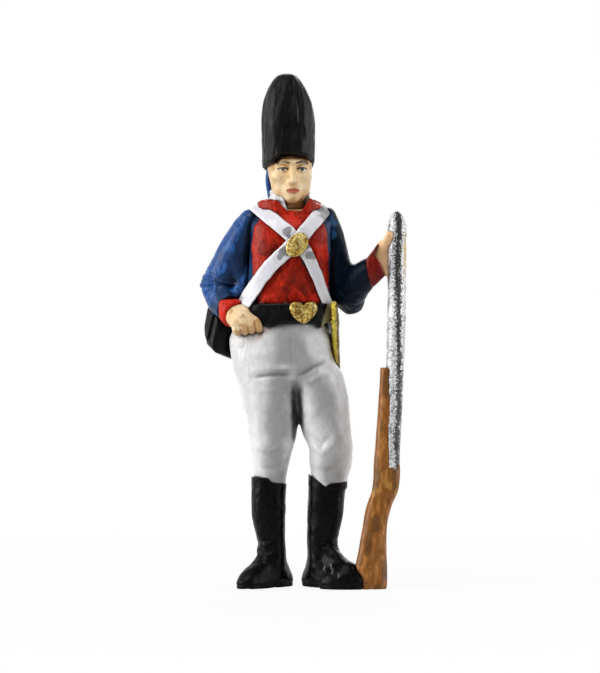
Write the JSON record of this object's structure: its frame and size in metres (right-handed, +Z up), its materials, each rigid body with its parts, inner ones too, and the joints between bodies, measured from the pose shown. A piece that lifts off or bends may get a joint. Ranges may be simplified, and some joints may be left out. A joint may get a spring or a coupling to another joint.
{
  "type": "toy soldier figure",
  "caption": "Standing metal toy soldier in a tall fur cap, red and blue coat and white breeches, one fist on the hip, a musket grounded at the side.",
  "frame": {"origin": "on the ground, under the middle of the whole figure's outline in plan", "axes": "+Z up, the figure faces -Y, +X towards its left hand and the musket"},
  "size_m": [0.0264, 0.0118, 0.0658],
  "materials": {
    "cap_black": "satin black paint over cast fur, dry-brushed grey",
    "skin": "satin peach paint with ochre shading",
    "stock_white": "satin white paint",
    "coat_blue": "satin royal blue paint with brush streaks",
    "sleeve_navy": "satin dark navy paint",
    "coat_red": "gloss red paint, mottled",
    "cuff_dark_red": "satin dark red paint",
    "belt_white": "satin white paint with dark spots",
    "gold": "glittering gold paint",
    "belt_black": "gloss black paint",
    "breeches_white": "satin white paint with grey shading",
    "boot_black": "gloss black paint",
    "pouch_black": "satin black paint",
    "barrel_silver": "glittering silver paint",
    "stock_wood": "brown paint streaked like wood"
  },
  "bodies": {
    "root": {"cap": "cap_black", "cap_neck_flap": "coat_blue", "head": "skin", "neck_stock": "stock_white", "coat_collar": "coat_red", "coat_body": "coat_blue", "coat_front": "coat_red", "right_coat_tail": "coat_blue", "left_coat_tail": "coat_blue", "right_sleeve": "coat_blue", "right_cuff": "coat_red", "right_hand": "skin", "left_sleeve": "sleeve_navy", "left_cuff": "cuff_dark_red", "left_hand": "skin", "pouch_belt": "belt_white", "sword_belt": "belt_white", "belt_plate": "gold", "waist_belt": "belt_black", "belt_buckle": "gold", "breeches": "breeches_white", "right_boot": "boot_black", "left_boot": "boot_black", "cartridge_pouch": "pouch_black", "pouch_flap": "pouch_black", "sword_hilt": "gold", "sword_scabbard": "gold", "musket_barrel": "barrel_silver", "musket_stock": "stock_wood"}
  },
  "joints": []
}
